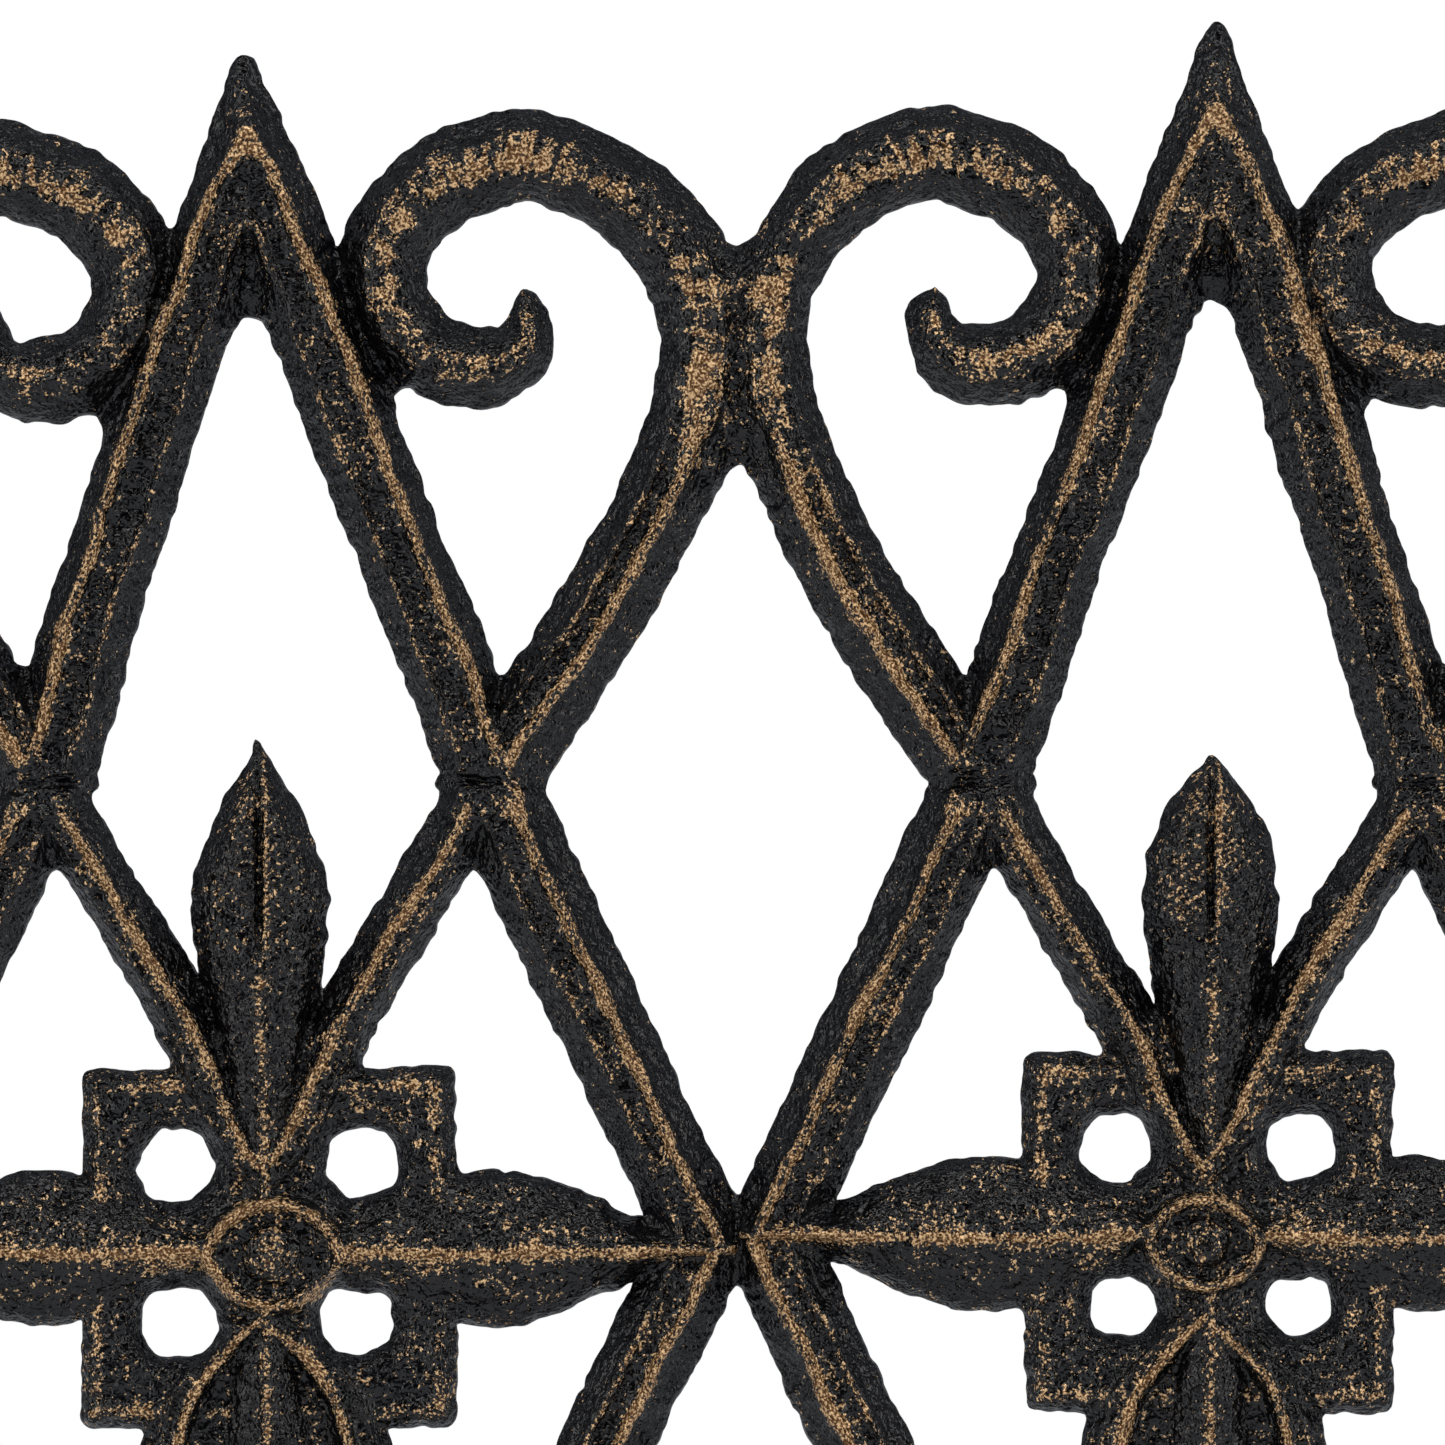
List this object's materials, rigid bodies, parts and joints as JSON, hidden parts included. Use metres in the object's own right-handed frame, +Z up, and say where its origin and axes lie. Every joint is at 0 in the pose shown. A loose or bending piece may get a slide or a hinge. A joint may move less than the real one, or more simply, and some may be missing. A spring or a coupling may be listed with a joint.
{
  "type": "fireplace screen",
  "caption": "Folding cast iron fireplace screen: open lattice panels with pointed arches, scrolls and rosettes, joined by pin hinges and standing on bolted feet.",
  "frame": {"origin": "middle of the standing screen's box, on the floor under the feet", "axes": "+X to the right seen from the front, the front faces -Y and the wings swing back to +Y, +Z up"},
  "size_m": [0.9158, 0.1956, 0.604],
  "materials": {
    "antique_iron": "rough sand casting, glossy black paint, ridges dry brushed with antique gold",
    "pin_steel": "darkened turned steel",
    "spacer_brass": "dulled brass",
    "fastener_steel": "zinc plated steel",
    "pad_rubber": "matt black rubber"
  },
  "bodies": {
    "centre": {"centre_panel": "antique_iron", "left_upper_hinge_pin": "pin_steel", "left_upper_finial": "antique_iron", "left_upper_acorn_nut": "antique_iron", "left_upper_spacers": "spacer_brass", "left_lower_hinge_pin": "pin_steel", "left_lower_finial": "antique_iron", "left_lower_acorn_nut": "antique_iron", "left_lower_spacers": "spacer_brass", "right_upper_hinge_pin": "pin_steel", "right_upper_finial": "antique_iron", "right_upper_acorn_nut": "antique_iron", "right_upper_spacers": "spacer_brass", "right_lower_hinge_pin": "pin_steel", "right_lower_finial": "antique_iron", "right_lower_acorn_nut": "antique_iron", "right_lower_spacers": "spacer_brass", "centre_left_foot": "antique_iron", "centre_left_foot_bolts": "antique_iron", "centre_left_foot_washers": "fastener_steel", "centre_left_foot_nuts": "fastener_steel", "centre_left_foot_pads": "pad_rubber", "centre_right_foot": "antique_iron", "centre_right_foot_bolts": "antique_iron", "centre_right_foot_washers": "fastener_steel", "centre_right_foot_nuts": "fastener_steel", "centre_right_foot_pads": "pad_rubber"},
    "left_wing": {"left_wing": "antique_iron", "left_wing_foot": "antique_iron", "left_wing_foot_bolts": "antique_iron", "left_wing_foot_washers": "fastener_steel", "left_wing_foot_nuts": "fastener_steel", "left_wing_foot_pads": "pad_rubber"},
    "right_wing": {"right_wing": "antique_iron", "right_wing_foot": "antique_iron", "right_wing_foot_bolts": "antique_iron", "right_wing_foot_washers": "fastener_steel", "right_wing_foot_nuts": "fastener_steel", "right_wing_foot_pads": "pad_rubber"}
  },
  "joints": [
    {"name": "right_wing_hinge", "type": "hinge", "parent": "centre", "child": "right_wing", "pos_m": [0.24, -0.04334, 0.25], "axis": [0, 0, 1], "range_deg": [-30, 150]},
    {"name": "left_wing_hinge", "type": "hinge", "parent": "centre", "child": "left_wing", "pos_m": [-0.24, -0.04334, 0.25], "axis": [0, 0, -1], "range_deg": [-30, 150]}
  ]
}
